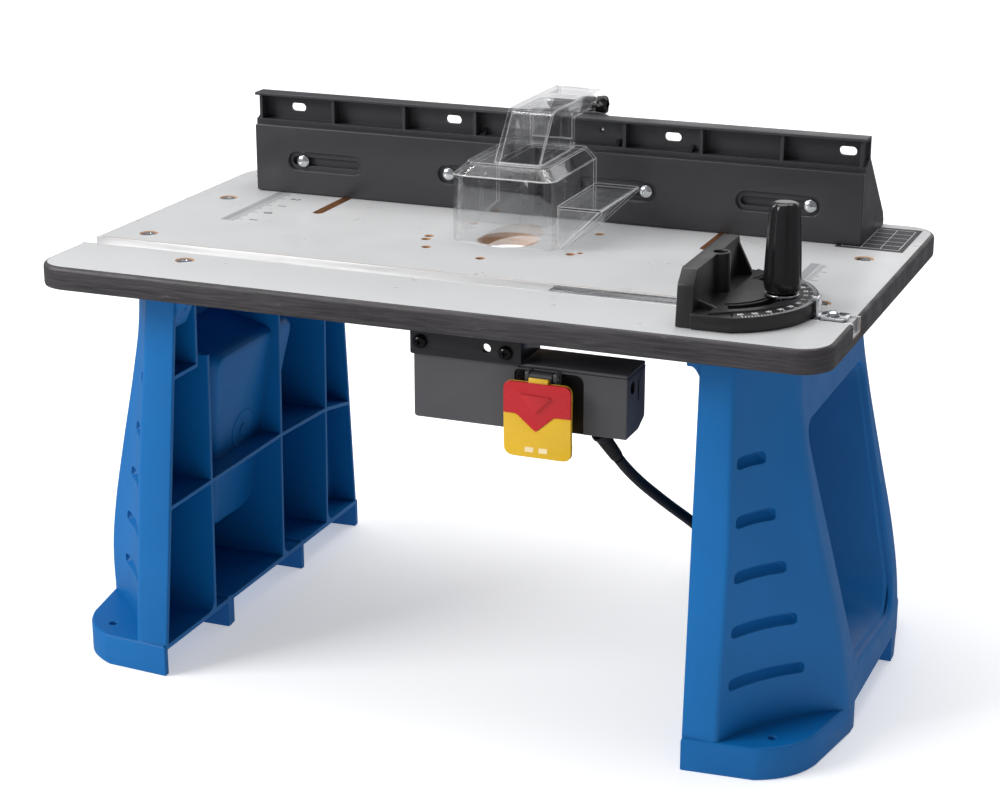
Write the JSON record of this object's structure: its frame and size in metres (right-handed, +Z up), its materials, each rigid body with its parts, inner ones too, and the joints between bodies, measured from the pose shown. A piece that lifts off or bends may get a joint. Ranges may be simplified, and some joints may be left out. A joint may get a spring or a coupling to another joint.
{
  "type": "router table",
  "caption": "Bench-top router table with a split fence, clear swing-up bit guard, sliding miter gauge and a paddle safety switch.",
  "frame": {"origin": "on the floor, under the middle of the tabletop", "axes": "+X along the fence to the right, +Y from the front to the back, +Z up"},
  "size_m": [0.619, 0.4591, 0.425],
  "materials": {
    "laminate": "light grey laminate top with a black edge",
    "aluminium": "plain extruded",
    "blue_plastic": "moulded, fine grain",
    "black_plastic": "moulded, satin",
    "gauge_black": "moulded, semi-gloss",
    "zinc": "bright zinc plated",
    "steel": "drawn",
    "black_steel": "satin black",
    "clear_guard": "clear moulded plastic",
    "paddle_yellow": "moulded, red upper part",
    "rocker_green": "moulded",
    "cord_rubber": "smooth jacket"
  },
  "bodies": {
    "table": {"tabletop": "laminate", "miter_track": "aluminium", "leg_right": "blue_plastic", "leg_left": "blue_plastic", "switch_bracket": "black_steel", "switch_screw_1": "black_steel", "switch_screw_2": "black_steel", "switch_housing": "black_plastic", "switch_lid": "black_plastic", "switch_module": "black_plastic", "wire_block": "black_plastic", "paddle_pin": "steel", "leg_screw_1": "zinc", "leg_screw_2": "zinc", "leg_screw_3": "zinc", "leg_screw_4": "zinc", "leg_screw_5": "zinc", "leg_screw_6": "zinc", "leg_screw_7": "zinc", "leg_screw_8": "zinc", "strain_relief": "cord_rubber", "cord_tube": "cord_rubber", "cord_coil": "cord_rubber", "cord_tail": "cord_rubber", "cord_plug": "cord_rubber"},
    "fence": {"fence_frame": "black_plastic", "face_bolt_1": "zinc", "face_bolt_2": "zinc", "face_bolt_3": "zinc", "face_bolt_4": "zinc", "clamp_bolt_1": "zinc", "clamp_bolt_2": "zinc", "dust_hood": "black_plastic", "guard_bracket": "black_plastic", "bracket_screw_1": "zinc", "bracket_screw_2": "zinc", "guard_pin": "steel"},
    "face_left": {"fence_face_left": "black_plastic"},
    "face_right": {"fence_face_right": "black_plastic"},
    "face_knob_a": {"face_knob_1": "gauge_black"},
    "face_knob_b": {"face_knob_2": "gauge_black"},
    "face_knob_c": {"face_knob_3": "gauge_black"},
    "face_knob_d": {"face_knob_4": "gauge_black"},
    "clamp_knob_a": {"clamp_knob_1": "gauge_black"},
    "clamp_knob_b": {"clamp_knob_2": "gauge_black"},
    "guard": {"bit_guard": "clear_guard"},
    "guard_nut": {"guard_knob": "gauge_black"},
    "gauge": {"gauge_bar": "steel", "gauge_stud": "steel", "gauge_washer": "zinc", "gauge_pivot_screw": "zinc", "gauge_pointer": "zinc", "pointer_screw": "zinc"},
    "protractor": {"gauge_head": "gauge_black"},
    "handle": {"gauge_handle": "gauge_black"},
    "paddle": {"stop_paddle": "paddle_yellow"},
    "rocker_key": {"rocker": "rocker_green"}
  },
  "joints": [
    {"name": "fence_slide", "type": "slide", "parent": "table", "child": "fence", "axis": [0, 1, 0], "range_m": [-0.08, 0.004]},
    {"name": "face_left_slide", "type": "slide", "parent": "fence", "child": "face_left", "axis": [-1, 0, 0], "range_m": [0, 0.045]},
    {"name": "face_right_slide", "type": "slide", "parent": "fence", "child": "face_right", "axis": [1, 0, 0], "range_m": [0, 0.045]},
    {"name": "face_knob_a_turn", "type": "hinge", "parent": "fence", "child": "face_knob_a", "pos_m": [-0.2184, 0.1175, 0.3531], "axis": [0, 1, 0], "continuous": true},
    {"name": "face_knob_b_turn", "type": "hinge", "parent": "fence", "child": "face_knob_b", "pos_m": [-0.0855, 0.1175, 0.3531], "axis": [0, 1, 0], "continuous": true},
    {"name": "face_knob_c_turn", "type": "hinge", "parent": "fence", "child": "face_knob_c", "pos_m": [0.0849, 0.1175, 0.3531], "axis": [0, 1, 0], "continuous": true},
    {"name": "face_knob_d_turn", "type": "hinge", "parent": "fence", "child": "face_knob_d", "pos_m": [0.2188, 0.1175, 0.3531], "axis": [0, 1, 0], "continuous": true},
    {"name": "clamp_knob_a_turn", "type": "hinge", "parent": "fence", "child": "clamp_knob_a", "pos_m": [-0.1777, 0.152, 0.337], "axis": [0, 0, 1], "continuous": true},
    {"name": "clamp_knob_b_turn", "type": "hinge", "parent": "fence", "child": "clamp_knob_b", "pos_m": [0.1505, 0.152, 0.337], "axis": [0, 0, 1], "continuous": true},
    {"name": "guard_lift", "type": "hinge", "parent": "fence", "child": "guard", "pos_m": [0.01115, 0.14, 0.412], "axis": [-1, 0, 0], "range_deg": [0, 95]},
    {"name": "guard_nut_turn", "type": "hinge", "parent": "fence", "child": "guard_nut", "pos_m": [0.034, 0.14, 0.412], "axis": [1, 0, 0], "continuous": true},
    {"name": "gauge_slide", "type": "slide", "parent": "table", "child": "gauge", "axis": [1, 0, 0], "range_m": [-0.38, 0.02]},
    {"name": "protractor_turn", "type": "hinge", "parent": "gauge", "child": "protractor", "pos_m": [0.206, -0.09875, 0.3314], "axis": [0, 0, 1], "range_deg": [-60, 60]},
    {"name": "handle_turn", "type": "hinge", "parent": "gauge", "child": "handle", "pos_m": [0.251, -0.09875, 0.37], "axis": [0, 0, 1], "continuous": true},
    {"name": "paddle_lift", "type": "hinge", "parent": "table", "child": "paddle", "pos_m": [0.1, -0.169, 0.28], "axis": [-1, 0, 0], "range_deg": [0, 75]},
    {"name": "rocker_press", "type": "hinge", "parent": "table", "child": "rocker_key", "pos_m": [0.1, -0.158, 0.26], "axis": [1, 0, 0], "range_deg": [0, 12]}
  ]
}
